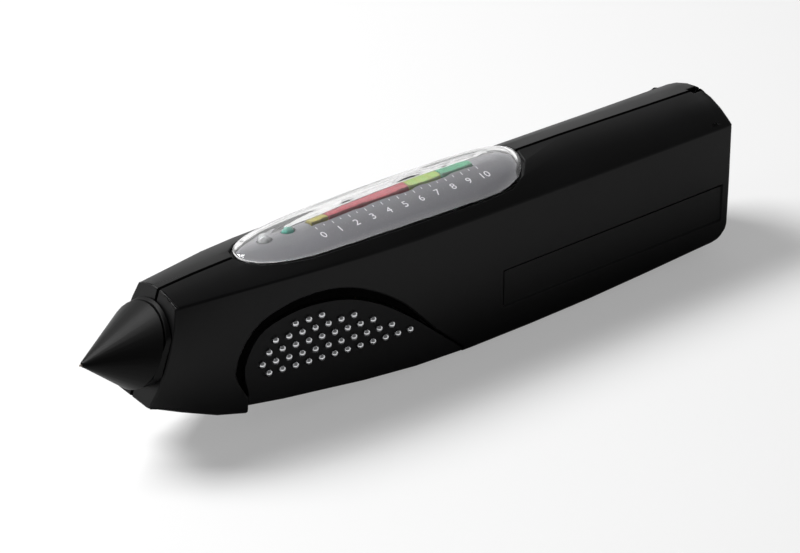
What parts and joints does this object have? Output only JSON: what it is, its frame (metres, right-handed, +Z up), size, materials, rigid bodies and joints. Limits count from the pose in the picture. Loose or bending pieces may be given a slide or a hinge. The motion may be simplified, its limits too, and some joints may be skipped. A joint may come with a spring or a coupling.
{
  "type": "diamond tester",
  "caption": "Pen-like hand-held gem tester with a leaning cone nose, a sprung probe tip, a domed light-bar display, studded grip pads and a lift-off battery cover.",
  "frame": {"origin": "bottom centre of the bounding box", "axes": "+X runs from the probe tip to the rear end, +Z is up towards the display, -Y is the pictured side"},
  "size_m": [0.18, 0.0252, 0.0434],
  "materials": {
    "black_housing": "fine satin black moulded plastic",
    "black_grip": "satin black moulded plastic",
    "black_nose": "smooth satin black plastic",
    "clear_lens": "clear polished plastic",
    "legend_grey": "dark grey gloss film",
    "bar_yellow": "translucent yellow diffuser",
    "bar_red": "translucent red diffuser",
    "bar_lime": "translucent lime diffuser",
    "bar_green": "translucent green diffuser",
    "lamp_clear": "water-clear lamp",
    "lamp_green": "tinted green lamp",
    "chrome_contact": "polished plated metal",
    "spring_steel": "plated spring wire",
    "probe_metal": "copper alloy",
    "brass": "plain brass",
    "white_plastic": "white insulating plastic",
    "board_green": "solder-masked circuit board",
    "inner_black": "plain black plastic",
    "cell_can": "cell can with a plain grey sleeve",
    "lead_red": "insulated lead",
    "lead_white": "insulated lead",
    "lead_black": "insulated lead"
  },
  "bodies": {
    "housing": {"near_shell": "black_housing", "far_shell": "black_housing", "grip_pad_near": "black_grip", "grip_pad_far": "black_grip", "contact_plate_near": "chrome_contact", "contact_plate_far": "chrome_contact", "nose_cone": "black_nose", "nose_collar": "black_nose", "probe_sleeve": "white_plastic", "probe_carrier": "inner_black", "spring_cap": "brass", "probe_spring": "spring_steel", "lens": "clear_lens", "legend_plate": "legend_grey", "battery_lamp": "lamp_clear", "ready_lamp": "lamp_green", "light_bar_yellow": "bar_yellow", "light_bar_red": "bar_red", "light_bar_lime": "bar_lime", "light_bar_green": "bar_green", "led_strip": "white_plastic", "display_board": "board_green", "display_header": "inner_black", "main_board": "board_green", "controller_chip": "inner_black", "buzzer": "inner_black", "usb_socket": "chrome_contact", "power_switch": "inner_black", "battery_tray": "inner_black", "battery_cell_1": "cell_can", "battery_cell_2": "cell_can", "battery_cell_3": "cell_can", "battery_spring_1": "spring_steel", "battery_spring_2": "spring_steel", "battery_spring_3": "spring_steel", "battery_tab_1": "chrome_contact", "battery_tab_2": "chrome_contact", "battery_tab_3": "chrome_contact", "case_screw_1": "spring_steel", "case_screw_2": "spring_steel", "case_screw_3": "spring_steel", "case_screw_4": "spring_steel", "contact_leaf_near": "brass", "contact_leaf_far": "brass", "probe_lead_1": "lead_red", "probe_lead_2": "lead_white", "battery_lead_1": "lead_black", "battery_lead_2": "lead_red"},
    "probe": {"probe_pin": "probe_metal", "heater_block": "probe_metal"},
    "button": {"power_button": "black_grip"},
    "cover": {"battery_cover": "black_housing"}
  },
  "joints": [
    {"name": "probe_slide", "type": "slide", "parent": "housing", "child": "probe", "axis": [1, 0, 0], "range_m": [0, 0.0008], "stiffness_N_per_m": 500, "springref_m": -0.0004, "deforming": ["probe_spring"]},
    {"name": "button_press", "type": "slide", "parent": "housing", "child": "button", "axis": [-1, 0, 0], "range_m": [0, 0.0005], "stiffness_N_per_m": 1000, "springref_m": -0.0003},
    {"name": "cover_lift", "type": "slide", "parent": "housing", "child": "cover", "axis": [0, 1, 0], "range_m": [0, 0.02]}
  ]
}
